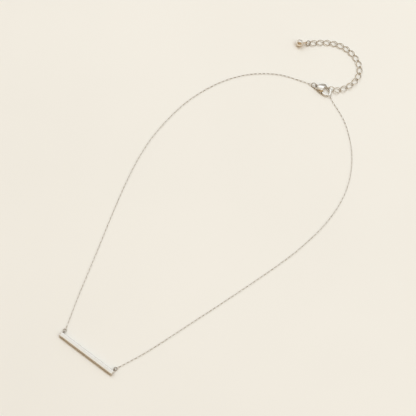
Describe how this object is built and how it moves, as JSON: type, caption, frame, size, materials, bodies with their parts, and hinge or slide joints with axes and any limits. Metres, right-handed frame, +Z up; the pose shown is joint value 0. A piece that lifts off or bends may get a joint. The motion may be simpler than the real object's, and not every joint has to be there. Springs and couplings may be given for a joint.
{
  "type": "bar pendant necklace",
  "caption": "Fine chain necklace laid flat, with a plain polished bar between its chain ends, a lobster clasp, and a twisted-link extender that ends in a small ball.",
  "frame": {"origin": "on the surface the necklace lies on, under the middle of its whole outline", "axes": "+X along the bar, +Y from the bar towards the clasp, +Z up from the surface"},
  "size_m": [0.0977, 0.2079, 0.0038],
  "materials": {
    "polished_silver": "mirror polish",
    "chain_silver": "polished wire, slightly darkened between the links",
    "cast_silver": "tumbled polish on a casting",
    "extender_silver": "polished wire"
  },
  "bodies": {
    "root": {"bar": "polished_silver", "bar_ring_left": "polished_silver", "bar_ring_right": "polished_silver", "chain_left": "chain_silver", "chain_right": "chain_silver", "clasp_ring": "polished_silver", "clasp_body": "cast_silver", "clasp_rivet": "cast_silver", "end_ring": "polished_silver", "extender_link_01": "extender_silver", "extender_link_02": "extender_silver", "extender_link_03": "extender_silver", "extender_link_04": "extender_silver", "extender_link_05": "extender_silver", "extender_link_06": "extender_silver", "extender_link_07": "extender_silver", "extender_link_08": "extender_silver", "extender_link_09": "extender_silver", "extender_link_10": "extender_silver", "extender_link_11": "extender_silver", "extender_link_12": "extender_silver", "extender_link_13": "extender_silver", "extender_link_14": "extender_silver", "extender_link_15": "extender_silver", "drop_ring": "polished_silver", "ball_drop": "polished_silver"},
    "lever": {"clasp_lever": "cast_silver"}
  },
  "joints": [
    {"name": "clasp_lever_hinge", "type": "hinge", "parent": "root", "child": "lever", "pos_m": [0.00554, 0.07585, 0.0013], "axis": [0, 0, 1], "range_deg": [0, 20], "stiffness_Nm_per_rad": 0.003, "springref_deg": -17.19}
  ]
}
